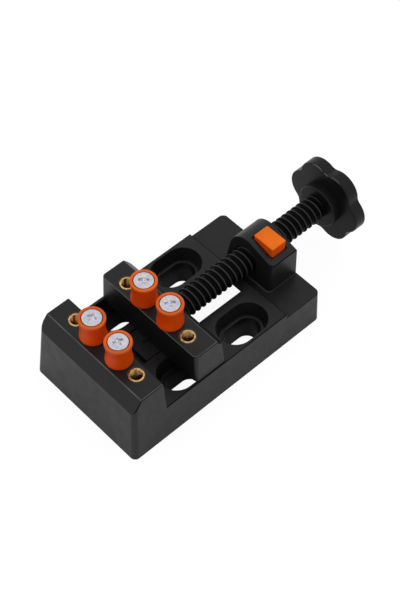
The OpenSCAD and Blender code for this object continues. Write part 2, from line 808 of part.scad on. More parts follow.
// A threaded insert, seated flush with the top of its jaw
module insert(i) {
  p = insert_places[i - 1];
  groove_z = insert_l / 2 - groove_w / 2;
  color(brass) place() translate([p[0], p[1], jaw_h - insert_l]) difference() {
    cylinder(r = insert_r, h = insert_l);
    translate([0, 0, -cut]) cylinder(r = insert_bore, h = insert_l + 2 * cut);
    translate([0, 0, insert_l - lead_in])
      cylinder(r1 = insert_bore, r2 = insert_bore + lead_in + cut, h = lead_in + cut);
    difference() {
      translate([0, 0, groove_z]) cylinder(r = insert_r + cut, h = groove_w);
      translate([0, 0, groove_z - cut]) cylinder(r = insert_r - groove_d, h = groove_w + 2 * cut);
    }
  }
}

// A waisted post with a counterbore for its screw's head
module post(i) {
  p = post_places[i - 1];
  waist_h = post_h - 2 * rim_h;
  dip = post_r - waist_r;
  arc_r = (pow(waist_h / 2, 2) + pow(dip, 2)) / (2 * dip);
  seat_z = post_h + head_proud - head_h;
  bore_r = shank_r + shank_gap;
  color(orange) place() translate([p[0], p[1], jaw_h]) difference() {
    rotate_extrude() polygon([[bore_r, 0], [post_r - rim_bevel, 0], [post_r, rim_bevel],
      [post_r, post_h - rim_bevel], [post_r - rim_bevel, post_h], [head_r + head_gap, post_h],
      [head_r + head_gap, seat_z], [bore_r, seat_z]]);
    rotate_extrude() translate([waist_r + arc_r, post_h / 2]) circle(arc_r, $fn = 96);
  }
}

module post_screw(i) {
  p = post_places[i - 1];
  seat = jaw_h + post_h + head_proud - head_h;
  color(plated) place() translate([p[0], p[1], seat]) rotate(head_turns[i - 1]) {
    crossed_screw(shank_r, seat - jaw_h - tip_gap, head_r, head_h, cross_l, cross_w);
    translate([0, 0, -shank_l]) cylinder(r = insert_bore - seat_gap, h = shank_l);
  }
}

base();
moving_jaw();
slide_keeper();
screw_fork();
lead_screw();
star_knob();
knob_screw();
release_button();
release_spring();
latch_cover();
for (i = [1:2]) keeper_screw(i);
for (i = [1:2]) cover_screw(i);
for (i = [1:8]) insert(i);
for (i = [1:4]) post(i);
for (i = [1:4]) post_screw(i);
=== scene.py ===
# %% [markdown]
# # A small moulded table vise
#
# The vise is a black moulding with a fixed jaw, a second jaw that slides on it, and a coarse
# screw turned by a six-lobed knob. Four orange posts grip the work, and an orange button in
# the boss lets go of the screw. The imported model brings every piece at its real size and
# place, so this script only gives them their finish, their soft edges and their fine detail.

# %% Load the vise
import math

import bmesh
import bpy
from mathutils import Matrix, Vector
from mathutils.bvhtree import BVHTree
from mathutils.geometry import intersect_point_line


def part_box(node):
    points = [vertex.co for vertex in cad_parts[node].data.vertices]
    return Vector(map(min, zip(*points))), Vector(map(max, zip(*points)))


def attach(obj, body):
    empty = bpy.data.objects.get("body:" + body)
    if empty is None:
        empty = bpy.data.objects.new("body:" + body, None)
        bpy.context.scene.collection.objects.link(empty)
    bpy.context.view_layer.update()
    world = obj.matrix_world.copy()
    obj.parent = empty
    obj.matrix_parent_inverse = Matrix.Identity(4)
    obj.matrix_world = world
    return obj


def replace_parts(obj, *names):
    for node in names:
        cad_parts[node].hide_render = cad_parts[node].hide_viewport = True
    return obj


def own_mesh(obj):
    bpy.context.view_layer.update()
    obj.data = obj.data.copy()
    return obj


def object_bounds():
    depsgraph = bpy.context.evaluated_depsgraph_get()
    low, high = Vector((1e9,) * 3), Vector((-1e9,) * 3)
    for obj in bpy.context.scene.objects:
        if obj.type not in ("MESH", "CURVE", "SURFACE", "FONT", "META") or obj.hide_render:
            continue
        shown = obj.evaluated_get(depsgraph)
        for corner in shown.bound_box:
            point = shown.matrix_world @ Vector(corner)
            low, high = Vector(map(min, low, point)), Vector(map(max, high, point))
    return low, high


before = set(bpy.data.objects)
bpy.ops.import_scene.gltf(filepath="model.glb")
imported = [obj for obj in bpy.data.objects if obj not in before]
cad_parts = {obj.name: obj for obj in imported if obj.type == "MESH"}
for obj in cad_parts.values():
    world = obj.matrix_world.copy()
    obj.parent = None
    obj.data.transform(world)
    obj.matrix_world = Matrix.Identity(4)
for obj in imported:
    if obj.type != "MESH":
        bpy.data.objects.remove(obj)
solid_low, solid_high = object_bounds()

# %% [markdown]
# Sizes are easiest to read in millimetres, measured back from the front of the base, up from
# the table and across from the screw's axis. One helper turns such a place into the metres
# of the scene.

# %% Millimetres from the front of the base
MM = 0.001
FRONT = solid_low.y


def place(x, y, z):
    """A point in metres, from millimetres across, back from the base's front, and up."""
    return Vector((x * MM, FRONT + y * MM, z * MM))


def over_middle(low, high, z):
    """The middle of a box as seen from above, at the height z, all in metres."""
    return Vector(((low.x + high.x) / 2, (low.y + high.y) / 2, z))


knob_low, knob_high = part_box("star_knob")
AXIS = (knob_low.z + knob_high.z) / 2 / MM
jaw_low, jaw_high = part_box("moving_jaw")
JAW_TOP = jaw_high.z / MM
print("screw axis at", round(AXIS, 2), "mm, jaws at", round(JAW_TOP, 2), "mm")

# %% [markdown]
# A camera can be found from a picture by matching straight edges whose real lengths are
# known. Here that gave a long lens, looking down by 53 degrees over the front right corner
# of the base, with about one degree of roll.

# %% Camera
CAMERA_AT = place(260.052, -189.237, 499.448)
TURN = math.radians(45.912)
TILT = math.radians(52.963)
ROLL = math.radians(1.161)
LENS = 88.8
SENSOR = 36
NEAREST = 0.01

look = Vector((-math.sin(TURN) * math.cos(TILT), math.cos(TURN) * math.cos(TILT), -math.sin(TILT)))
level = Vector((math.cos(TURN), math.sin(TURN), 0))
down = look.cross(level)
right = level * math.cos(ROLL) - down * math.sin(ROLL)
up = right.cross(look)
camera_data = bpy.data.cameras.new("camera")
camera_data.lens = LENS
camera_data.sensor_width = SENSOR
camera_data.clip_start = NEAREST
camera = bpy.data.objects.new("camera", camera_data)
camera.matrix_world = Matrix.Translation(CAMERA_AT) @ Matrix((right, up, -look)).transposed().to_4x4()
bpy.context.scene.collection.objects.link(camera)
bpy.context.scene.camera = camera
print("camera axes", [round(v, 4) for v in right], [round(v, 4) for v in up])

# %% [markdown]
# The light is a plain white studio: a sky that is brighter overhead, one large soft lamp low
# in front of the fixed jaw, and a weaker one behind. Black plastic shows little colour of its
# own, so most of its tone is what it mirrors. The front and the right side mirror the pale
# floor at a flat angle and look lighter, while the gap between the jaws mirrors only black.

# %% Sky and lamps
SKY_LOW = 0.35
SKY_HIGH = 1.25
SKY_SEEN = 1.0
LAMP_TARGET = Vector((0, 0, 0.02))
scene = bpy.context.scene
scene.view_settings.view_transform = "Standard"


def background_rays(nodes, links):
    """A value of 1 for rays that should see the plain white background."""
    path = nodes.new("ShaderNodeLightPath")
    first = nodes.new("ShaderNodeMath")
    first.operation = "MAXIMUM"
    links.new(path.outputs["Is Camera Ray"], first.inputs[0])
    links.new(path.outputs["Is Glossy Ray"], first.inputs[1])
    second = nodes.new("ShaderNodeMath")
    second.operation = "MAXIMUM"
    links.new(first.outputs[0], second.inputs[0])
    links.new(path.outputs["Is Transmission Ray"], second.inputs[1])
    return second.outputs[0]


world = bpy.data.worlds.new("white studio")
world.use_nodes = True
sky_nodes, sky_links = world.node_tree.nodes, world.node_tree.links
sky_strength = sky_nodes.new("ShaderNodeMapRange")
sky_strength.inputs["To Max"].default_value = SKY_SEEN
sky_links.new(background_rays(sky_nodes, sky_links), sky_strength.inputs["Value"])
sky_way = sky_nodes.new("ShaderNodeSeparateXYZ")
sky_links.new(sky_nodes.new("ShaderNodeTexCoord").outputs["Generated"], sky_way.inputs[0])
overhead = sky_nodes.new("ShaderNodeMapRange")
overhead.inputs["To Min"].default_value = SKY_LOW
overhead.inputs["To Max"].default_value = SKY_HIGH
sky_links.new(sky_way.outputs["Z"], overhead.inputs["Value"])
sky_links.new(overhead.outputs["Result"], sky_strength.inputs["To Min"])
sky_nodes["Background"].inputs["Color"].default_value = (1, 1, 1, 1)
sky_links.new(sky_strength.outputs["Result"], sky_nodes["Background"].inputs["Strength"])
scene.world = world


def soft_lamp(name, at, size, power):
    """A square lamp that looks at the middle of the vise."""
    data = bpy.data.lights.new(name, "AREA")
    data.size = size
    data.energy = power
    lamp = bpy.data.objects.new(name, data)
    lamp.location = at
    lamp.rotation_euler = (LAMP_TARGET - Vector(at)).to_track_quat("-Z", "Y").to_euler()
    scene.collection.objects.link(lamp)


soft_lamp("front lamp", at=(-0.30, -0.75, 0.55), size=0.45, power=0.35)
soft_lamp("rear lamp", at=(0.25, 0.60, 0.70), size=0.50, power=0.2)

# %% [markdown]
# The floor is white wherever the camera looks at it, and pale where it lights the vise. What
# gloss mirrors of it is white in the open and dark under the vise, because the glow seen by
# those rays is dimmed by how closed in the floor is there.

# %% Floor
FLOOR_HALF = 2.0
FLOOR_PALE = 0.5
FLOOR_GLOW = 0.93
FLOOR_SHADE = 0.09
FLOOR_REACH = 0.09
FLOOR_SAMPLES = 4
FLOOR_CORNERS = ((-1, -1), (1, -1), (1, 1), (-1, 1))


def matt(nodes, grey):
    """A matt shader of one grey."""
    node = nodes.new("ShaderNodeBsdfDiffuse")
    node.inputs["Color"].default_value = (grey, grey, grey, 1)
    return node


floor_mesh = bpy.data.meshes.new("floor")
floor_mesh.from_pydata([(x * FLOOR_HALF, y * FLOOR_HALF, 0) for x, y in FLOOR_CORNERS], [], [(0, 1, 2, 3)])
floor = bpy.data.objects.new("floor", floor_mesh)
scene.collection.objects.link(floor)
floor_paint = bpy.data.materials.new("white floor")
floor_paint.use_nodes = True
nodes, links = floor_paint.node_tree.nodes, floor_paint.node_tree.links
nodes.remove(nodes["Principled BSDF"])
lit = matt(nodes, FLOOR_PALE)
seen = matt(nodes, FLOOR_SHADE)
open_floor = nodes.new("ShaderNodeAmbientOcclusion")
open_floor.samples = FLOOR_SAMPLES
open_floor.inputs["Distance"].default_value = FLOOR_REACH
path = nodes.new("ShaderNodeLightPath")
dimmed = nodes.new("ShaderNodeMix")
links.new(path.outputs["Is Glossy Ray"], dimmed.inputs["Factor"])
dimmed.inputs["A"].default_value = 1.0
links.new(open_floor.outputs["AO"], dimmed.inputs["B"])
strength = nodes.new("ShaderNodeMath")
strength.operation = "MULTIPLY"
strength.inputs[1].default_value = FLOOR_GLOW
links.new(dimmed.outputs["Result"], strength.inputs[0])
glow = nodes.new("ShaderNodeEmission")
links.new(strength.outputs[0], glow.inputs["Strength"])
both = nodes.new("ShaderNodeAddShader")
links.new(seen.outputs[0], both.inputs[0])
links.new(glow.outputs[0], both.inputs[1])
choice = nodes.new("ShaderNodeMixShader")
links.new(background_rays(nodes, links), choice.inputs["Fac"])
links.new(lit.outputs[0], choice.inputs[1])
links.new(both.outputs[0], choice.inputs[2])
links.new(choice.outputs[0], nodes["Material Output"].inputs["Surface"])
floor_mesh.materials.append(floor_paint)
print("floor", 2 * FLOOR_HALF, "m square")

# %% [markdown]
# Every moulding here has the same fine spark-eroded grain and the same faint cloudiness from
# handling, in different amounts. Such a shared effect is a node group: it gives out the grain
# for the bumps, and two slow masks for roughness and tone, and each material sets the ranges
# of the masks.

# %% Shader groups
RANGES = ("Tone low", "Tone high", "Rough low", "Rough high")
OUTPUTS = ("Bumps", "Tone", "Roughness")
NOISE_LOW, NOISE_HIGH = 0.3, 0.7


def new_group(name, inputs):
    """A shader node group with the ranges of its masks and more float inputs (name, default)."""
    group = bpy.data.node_groups.new(name, "ShaderNodeTree")
    for label, value in [(label, 1.0) for label in RANGES] + inputs:
        socket = group.interface.new_socket(label, in_out="INPUT", socket_type="NodeSocketFloat")
        socket.default_value = value
    for label in OUTPUTS:
        group.interface.new_socket(label, in_out="OUTPUT", socket_type="NodeSocketFloat")
    return group, group.nodes.new("NodeGroupInput").outputs, group.nodes.new("NodeGroupOutput").inputs


def noise(tree, coordinates, scale, detail=2.0):
    """A noise texture on the given coordinates; the scale may be a number or a socket."""
    node = tree.nodes.new("ShaderNodeTexNoise")
    node.inputs["Detail"].default_value = detail
    if isinstance(scale, (int, float)):
        node.inputs["Scale"].default_value = scale
    else:
        tree.links.new(scale, node.inputs["Scale"])
    tree.links.new(coordinates, node.inputs["Vector"])
    return node.outputs["Fac"]


def ranged(tree, value, low, high):
    """Maps the usual span of a noise to the range between two sockets."""
    node = tree.nodes.new("ShaderNodeMapRange")
    node.inputs["From Min"].default_value = NOISE_LOW
    node.inputs["From Max"].default_value = NOISE_HIGH
    tree.links.new(value, node.inputs["Value"])
    tree.links.new(low, node.inputs["To Min"])
    tree.links.new(high, node.inputs["To Max"])
    return node.outputs["Result"]


def end_group(tree, ins, outs, bumps, clouds, rubs):
    """Ends a group: one noise for the bumps, one for the tone and one for the roughness."""
    tree.links.new(bumps, outs["Bumps"])
    tree.links.new(ranged(tree, clouds, ins["Tone low"], ins["Tone high"]), outs["Tone"])
    tree.links.new(ranged(tree, rubs, ins["Rough low"], ins["Rough high"]), outs["Roughness"])
    print("group", tree.name, "with", len(tree.nodes), "nodes")


def skinned(name, group, colour, tone, rough, settings, depth, strength):
    """A material of one colour whose tone, roughness and bumps come from a group; depth in mm."""
    material = bpy.data.materials.new(name)
    material.use_nodes = True
    tree = material.node_tree
    shader = tree.nodes["Principled BSDF"]
    skin = tree.nodes.new("ShaderNodeGroup")
    skin.node_tree = group
    for label, value in [*zip(RANGES, (*tone, *rough)), *settings]:
        skin.inputs[label].default_value = value
    shade = tree.nodes.new("ShaderNodeVectorMath")
    shade.operation = "SCALE"
    shade.inputs[0].default_value = colour
    tree.links.new(skin.outputs["Tone"], shade.inputs["Scale"])
    tree.links.new(shade.outputs[0], shader.inputs["Base Color"])
    tree.links.new(skin.outputs["Roughness"], shader.inputs["Roughness"])
    bump = tree.nodes.new("ShaderNodeBump")
    bump.inputs["Distance"].default_value = depth * MM
    bump.inputs["Strength"].default_value = strength
    tree.links.new(skin.outputs["Bumps"], bump.inputs["Height"])
    tree.links.new(bump.outputs["Normal"], shader.inputs["Normal"])
    return material, shader


GRAIN_PER_METRE = 3500.0
CLOUDS_PER_METRE = 90.0
RUBS_PER_METRE = 240.0
moulding, ins, outs = new_group("moulded skin", [])
where = moulding.nodes.new("ShaderNodeTexCoord").outputs["Object"]
grain = noise(moulding, where, GRAIN_PER_METRE)
clouds = noise(moulding, where, CLOUDS_PER_METRE, detail=3.0)
rubs = noise(moulding, where, RUBS_PER_METRE, detail=4.0)
end_group(moulding, ins, outs, grain, clouds, rubs)

# %% [markdown]
# One black plastic gets copies that paint light and shade on it. Edges that catch the light
# get a painted highlight, a paler plastic, and the deck's right side and rear edges get painted
# shade, a darker plastic with almost no gloss. The knob's copy is darker, painted shade, and a
# little smoother than the body. The thread is nearly black with almost no gloss, painted shade
# for its grooves, but for a painted highlight on its crests, which an attribute of the thread's
# own mesh picks out. The orange pieces get a painted highlight on their rims and painted shade
# on their sides.

# %% Plastics
GRAIN_STRENGTH = 0.6


def plastic(name, colour, specular, rough, depth, tone=(0.85, 1.15)):
    """Moulded plastic, with ranges for roughness and tone and the depth of its grain in mm."""
    material, shader = skinned(name, moulding, colour, tone, rough, [], depth, GRAIN_STRENGTH)
    shader.inputs["Specular IOR Level"].default_value = specular
    return material


def painted_light_crest(material, attribute, colour):
    """Mixes a paler colour in where the piece's own attribute marks it: a painted highlight."""
    tree = material.node_tree
    shader = tree.nodes["Principled BSDF"]
    plain = shader.inputs["Base Color"].links[0].from_socket
    mask = tree.nodes.new("ShaderNodeAttribute")
    mask.attribute_name = attribute
    mix = tree.nodes.new("ShaderNodeMix")
    mix.data_type = "RGBA"
    tree.links.new(mask.outputs["Fac"], mix.inputs["Factor"])
    tree.links.new(plain, mix.inputs[6])
    mix.inputs[7].default_value = (*colour, 1)
    tree.links.new(mix.outputs[2], shader.inputs["Base Color"])


BLACK_BODY = plastic("black body plastic", (0.008, 0.008, 0.0085), 0.25, (0.34, 0.44), 0.02)
# Painted shade: a darker copy of the black plastic with almost no gloss, for the deck's right side and rear
# edges.
BLACK_SHADED = plastic("black plastic on dull edges", (0.0025, 0.0025, 0.0027), 0.02, (0.5, 0.6), 0.02)
# Painted shade: the knob gets a darker copy of the black plastic with less gloss, a little smoother than
# the body.
BLACK_KNOB_SHADED = plastic("black knob plastic with painted shade", (0.006, 0.006, 0.0064), 0.16, (0.30, 0.38), 0.02)
# Painted highlight: a paler copy of the black plastic for edges that catch the light.
BLACK_HIGHLIGHT = plastic(
    "black plastic on worn edges", (0.062, 0.062, 0.064), 0.30, (0.30, 0.40), 0.02, tone=(0.5, 1.4)
)
# Painted shade: the screw is a nearly black copy of the plastic with almost no gloss, so its grooves read
# dark, and its crests get a painted highlight.
BLACK_SCREW_SHADED = plastic("black screw plastic with painted shade and highlight", (0.0022, 0.0022, 0.0024), 0.02, (0.26, 0.34), 0.008)
painted_light_crest(BLACK_SCREW_SHADED, "crest", (0.040, 0.040, 0.041))
# Painted shade: the posts' body is a darker, redder copy of their orange.
ORANGE_POST_SHADED = plastic("orange post plastic with painted shade", (0.68, 0.064, 0.002), 0.08, (0.30, 0.40), 0.01)
# Painted highlight: the posts' rims get a paler copy of the same orange.
ORANGE_RIM_LIT = plastic("orange plastic with painted highlight on post rims", (0.66, 0.105, 0.008), 0.14, (0.30, 0.40), 0.01)
# Painted shade: a darker copy of the button's orange for its sides.
ORANGE_SIDE_SHADED = plastic("orange plastic with painted shade on button sides", (0.68, 0.075, 0.003), 0.10, (0.38, 0.48), 0.012)
ORANGE_BUTTON = plastic("orange button plastic", (0.80, 0.15, 0.006), 0.10, (0.38, 0.48), 0.012)
print("plastics:", [paint.name for paint in bpy.data.materials if "plastic" in paint.name])

# %% [markdown]
# Brass and zinc plating are metals, so their colour is the colour of what they mirror. Fine
# marks from turning or plating break the reflection, and slow masks make some places a little
# darker and some a little rougher than others. The bores of the inserts get a darker brass,
# painted shade, with long upright patches of painted reflection that stand for what the thread
# mirrors, and the crossed recesses get a paler, smoother zinc, a painted highlight.

# %% Metals
MARKS_PER_METRE = 3000.0
MARKS_FLAT = 5.0
PATCHES_PER_METRE = 900.0
MARK_STRENGTH = 0.5

worked, ins, outs = new_group(
    "worked metal", [("Patches per metre", PATCHES_PER_METRE), ("Patches upright", 1.0)]
)
where = worked.nodes.new("ShaderNodeTexCoord").outputs["Object"]
flat = worked.nodes.new("ShaderNodeVectorMath")
flat.operation = "MULTIPLY"
flat.inputs[1].default_value = (1.0, 1.0, MARKS_FLAT)
worked.links.new(where, flat.inputs[0])
stretch = worked.nodes.new("ShaderNodeCombineXYZ")
stretch.inputs["X"].default_value = 1.0
stretch.inputs["Y"].default_value = 1.0
worked.links.new(ins["Patches upright"], stretch.inputs["Z"])
upright = worked.nodes.new("ShaderNodeVectorMath")
upright.operation = "MULTIPLY"
worked.links.new(where, upright.inputs[0])
worked.links.new(stretch.outputs[0], upright.inputs[1])
marks = noise(worked, flat.outputs[0], MARKS_PER_METRE, detail=1.0)
clouds = noise(worked, upright.outputs[0], ins["Patches per metre"], detail=3.0)
rubs = noise(worked, where, PATCHES_PER_METRE)
end_group(worked, ins, outs, marks, clouds, rubs)


def metal(name, colour, rough, depth, tone=(0.9, 1.04), patches=(PATCHES_PER_METRE, 1.0)):
    """A metal with marks of a depth in mm; patches: how many a metre, and their share along Z."""
    settings = zip(("Patches per metre", "Patches upright"), patches)
    material, shader = skinned(name, worked, colour, tone, rough, settings, depth, MARK_STRENGTH)
    shader.inputs["Metallic"].default_value = 1.0
    return material


BRASS = metal("brass", (0.74, 0.47, 0.19), (0.18, 0.30), 0.012, (0.45, 1.15))
# Painted shade and painted reflection: a darker brass for the bores, with tall patches that stand for what
# the thread mirrors.
BORE_BRASS_SHADED = metal(
    "brass with painted shade and reflections inside bores", (0.28, 0.17, 0.07), (0.15, 0.25), 0.012, (0.0, 2.1), patches=(420.0, 0.15)
)
ZINC = metal("zinc plating", (0.59, 0.58, 0.64), (0.34, 0.46), 0.03, (0.80, 1.12))
# Painted highlight: a paler, smoother zinc for the crossed recesses.
RECESS_ZINC_HIGHLIT = metal("zinc with painted highlight inside recesses", (0.74, 0.73, 0.78), (0.10, 0.20), 0.01, (0.85, 1.08))
SPRING_STEEL = metal("spring steel", (0.55, 0.55, 0.57), (0.25, 0.35), 0.006)
print("metals:", [paint.name for paint in (BRASS, BORE_BRASS_SHADED, ZINC, RECESS_ZINC_HIGHLIT, SPRING_STEEL)])

# %% [markdown]
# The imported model's plain pieces get a material first, by the names of their nodes. Each is
# then replaced by a finer piece below, so that these plain ones only lend their shapes and
# their places.

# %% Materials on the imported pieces
NODE_LOOKS = {
    "base": BLACK_BODY, "moving_jaw": BLACK_BODY, "slide_keeper": BLACK_BODY, "latch_cover": BLACK_BODY,
    "lead_screw": BLACK_SCREW_SHADED, "star_knob": BLACK_BODY, "release_button": ORANGE_BUTTON,
    "screw_fork": ZINC, "knob_screw": ZINC, "release_spring": SPRING_STEEL,
}
BY_START = {
    "insert": BRASS, "post": ORANGE_POST_SHADED, "post_screw": ZINC, "keeper_screw": ZINC, "cover_screw": ZINC,
}
for node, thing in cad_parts.items():
    look_of = NODE_LOOKS.get(node) or BY_START[node.rstrip("0123456789").rstrip("_")]
    thing.data.materials.clear()
    thing.data.materials.append(look_of)
print("painted", len(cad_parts), "packed pieces")

# %% [markdown]
# A moulding has no razor edges: its tool leaves a small radius on each, and that radius
# catches a thin line of light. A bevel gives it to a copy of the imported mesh, after the flat
# faces have been joined up so that only real edges are left. Where walls are thin or edges
# meet at odd angles, the rounding can fold over, so the copy is compared with the solid's own
# walls and rounded again with less there.

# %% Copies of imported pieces
JOIN_WITHIN = 0.002
FLAT_WITHIN = math.radians(0.6)
SMALLEST_FOLD = 0.01
FOLDED = 0.3


def new_piece(name, mesh, material):
    """An object at the origin that holds the mesh."""
    mesh.materials.append(material)
    mesh.name = name
    piece = bpy.data.objects.new(name, mesh)
    scene.collection.objects.link(piece)
    return piece


def settled(piece):
    """The piece with its modifiers worked into a plain mesh."""
    graph = bpy.context.evaluated_depsgraph_get()
    graph.update()
    mesh = bpy.data.meshes.new_from_object(
        piece.evaluated_get(graph), preserve_all_data_layers=True, depsgraph=graph
    )
    piece.modifiers.clear()
    piece.data = mesh
    mesh.name = piece.name
    return piece


def loose_edges(mesh):
    """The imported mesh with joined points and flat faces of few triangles, and its own walls."""
    body = bmesh.new()
    body.from_mesh(mesh)
    bmesh.ops.remove_doubles(body, verts=body.verts, dist=JOIN_WITHIN * MM)
    walls = BVHTree.FromBMesh(body)
    bmesh.ops.dissolve_limit(body, angle_limit=FLAT_WITHIN, verts=body.verts, edges=body.edges)
    bmesh.ops.triangulate(body, faces=body.faces)
    return body, walls


def folded_points(mesh, walls):
    """Corners of the triangles that face away from the solid's nearest wall."""
    mesh.calc_loop_triangles()
    points = {}
    for triangle in mesh.loop_triangles:
        corners = [mesh.vertices[i].co for i in triangle.vertices]
        normal = walls.find_nearest(sum(corners, Vector()) / 3)[1]
        if triangle.area > SMALLEST_FOLD * MM**2 and triangle.normal.dot(normal) < FOLDED:
            for corner in corners:
                points[tuple(round(v / MM, 1) for v in corner)] = corner.copy()
    return points.values()


def near_edges(edges, points, reach_of):
    """Those of the edges that pass within their own reach of a point."""
    found = []
    for edge in edges:
        a, b = (v.co for v in edge.verts)
        reach = reach_of(edge)
        span = (b - a).length / 2 + reach
        middle = (a + b) / 2
        for point in points:
            if (point - middle).length < span:
                part = min(1, max(0, intersect_point_line(point, a, b)[1]))
                if (a.lerp(b, part) - point).length < reach:
                    found.append(edge)
                    break
    return found


print("helpers for copies ready")

# %% [markdown]
# Which of the black plastics a rounded edge gets depends on where it lies and where it
# faces. The jaws, the knob's upper front and the line round the boss's foot get a painted
# highlight, a paler plastic. The right side of the deck and its rear edges get painted shade,
# a darker plastic with almost no gloss. Some edges also have a radius of their own: the right
# ends of the jaws and the deck's rear step are rounder, and the boss stands in a small fillet.

# %% Rules for the edges
# Indices of the edge plastics: plain, pale (painted light) and painted shade.
PLAIN, PALE, SHADED = 0, 1, 2

# Places in mm, back from the base's front, and up or across where the name says so.
BEVEL_END = 5.0
DECK_FRONT = 19.0
JAWS_BACK = 52.0
STEP = 84.0
BOSS_FRONT = 87.0
KNOB_FRONT = 106.0
SIDE_ACROSS = 25.0
FOOT_UP = 16.5
FOOT_RISE = 1.0
JAWS_UP = 20.0
KNOB_RIM = 12.0

# How far a face leans one way, as a share of its normal.
LEANS = 0.3
LOOKS_UP = 0.15
MOSTLY_UP = 0.7
KNOB_UP = 0.4
KNOB_AHEAD = 0.25
KNOB_ACROSS = 0.22

# Radii in mm, the least angle of an edge that is worth rounding, and how near is on a line.
ROUNDER = 0.45
FILLET = 0.7
CORNER = 20.0
LEVEL_SLOPE = 1.5
ON_STEP = 0.2
ON_FOOT = 0.1


def edge_look(face):
    """PALE for a painted highlight, SHADED for painted shade, or PLAIN, for the face of a rounded edge."""
    back, height = (face.center.y - FRONT) / MM, face.center.z / MM
    across, behind, up = face.normal
    above_deck = height > FOOT_UP - FOOT_RISE
    # The knob's upper front edges get a painted highlight.
    if back > KNOB_FRONT:
        ahead = behind < -KNOB_AHEAD and abs(across) < KNOB_ACROSS
        return PALE if ahead and up > KNOB_UP and height > AXIS + KNOB_RIM else PLAIN
    # The fillet round the boss's foot gets a painted highlight.
    if BOSS_FRONT < back and FOOT_UP < height < FOOT_UP + FOOT_RISE:
        return PALE
    on_jaws = back < JAWS_BACK and height > JAWS_UP
    on_bevel = on_jaws and back < BEVEL_END
    # Upper edges facing right: a painted highlight on the jaws' tops, painted shade elsewhere.
    if across > LEANS and up > LOOKS_UP and above_deck:
        return PALE if on_jaws and not on_bevel and up > MOSTLY_UP else SHADED
    # The jaws' front and top edges get a painted highlight.
    if on_jaws:
        bevel_foot = on_bevel and abs(across) < LEANS
        return PLAIN if behind > LEANS or up < LOOKS_UP or bevel_foot else PALE
    # The deck's rear edges get painted shade.
    on_deck = back > DECK_FRONT and above_deck
    return SHADED if on_deck and behind > LEANS and up > LOOKS_UP else PLAIN


def end_radius(edge):
    """A rounder radius in mm for the upper edges at the right ends of the jaws, else 0."""
    a, b = (v.co for v in edge.verts)
    at_end = min(a.x, b.x) > SIDE_ACROSS * MM and min(a.z, b.z) > JAWS_UP * MM
    outer = edge.calc_face_angle_signed() > math.radians(CORNER)
    lies_flat = abs(a.z - b.z) < LEVEL_SLOPE * abs(a.y - b.y)
    return ROUNDER if at_end and outer and lies_flat else 0.0


def base_radius(edge):
    """The base's own radii in mm: the deck's rear step, the fillet and the jaw's right end."""
    backs = [(v.co.y - FRONT) / MM for v in edge.verts]
    heights = [v.co.z / MM for v in edge.verts]
    on_step = all(abs(back - STEP) < ON_STEP for back in backs)
    if min(heights) > FOOT_UP + FOOT_RISE and on_step:
        return ROUNDER
    inner = edge.calc_face_angle_signed() < -math.radians(CORNER)
    if inner and min(backs) > BOSS_FRONT and all(abs(height - FOOT_UP) < ON_FOOT for height in heights):
        return FILLET
    return end_radius(edge)


print("looks of an edge: plain", PLAIN, "pale", PALE, "dull", SHADED)

# %% [markdown]
# Every moulding and plate now gets its rounded copy. The button's upper faces keep the bright
# orange, and all the faces round them take a darker orange, painted shade on its sides.

# %% Softened mouldings
TRIES = 6
GENTLE_TRIES = 2
GENTLER = 0.4
FOLD_REACH = 1.5
CREASE = 50.0
BUTTON_TOP = 0.45


def rounded_once(body, name, paints, segments):
    """The mesh with each edge rounded by its weight in mm."""
    mesh = bpy.data.meshes.new(name)
    body.to_mesh(mesh)
    if "custom_normal" in mesh.attributes:
        mesh.attributes.remove(mesh.attributes["custom_normal"])
    piece = new_piece(name, mesh, paints[PLAIN])
    mesh.materials.append(paints[PALE])
    mesh.materials.append(paints[SHADED])
    mesh.shade_smooth()
    bevel = piece.modifiers.new("rounded edges", "BEVEL")
    bevel.material = PALE
    bevel.width = MM
    bevel.loop_slide = False
    bevel.segments = segments
    bevel.limit_method = "WEIGHT"
    bevel.use_clamp_overlap = False
    return settled(piece)


def softened(node, name, material, radius, segments=2, corner=CORNER, worn=None, dull=None, own=None):
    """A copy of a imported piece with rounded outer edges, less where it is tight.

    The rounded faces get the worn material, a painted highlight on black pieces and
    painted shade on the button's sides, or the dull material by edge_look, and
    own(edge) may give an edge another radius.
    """
    paints = (material, worn or material, dull or material)
    body, walls = loose_edges(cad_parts[node].data)
    weight = body.edges.layers.float.new("bevel_weight_edge")
    for edge in body.edges:
        if edge.is_manifold:
            outer = edge.calc_face_angle_signed() > math.radians(corner)
            edge[weight] = (own(edge) if own else 0.0) or (radius if outer else 0.0)
    for attempt in range(TRIES):
        piece = rounded_once(body, name, paints, segments)
        folds = folded_points(piece.data, walls)
        if not folds or attempt == TRIES - 1:
            break
        rounded = [edge for edge in body.edges if edge[weight] > 0]
        for edge in near_edges(rounded, folds, lambda edge: FOLD_REACH * max(radius, edge[weight]) * MM):
            edge[weight] *= GENTLER if attempt < GENTLE_TRIES else 0.0
        bpy.data.objects.remove(piece)
    body.free()
    for face in piece.data.polygons:
        if face.material_index:
            face.material_index = edge_look(face)
    piece.data.set_sharp_from_angle(angle=math.radians(CREASE))
    even = piece.modifiers.new("flat faces look flat", "WEIGHTED_NORMAL")
    even.keep_sharp = True
    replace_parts(settled(piece), node)
    print(name, "after", attempt + 1, "tries,", len(folds), "folded,", len(piece.data.polygons), "faces")
    return piece


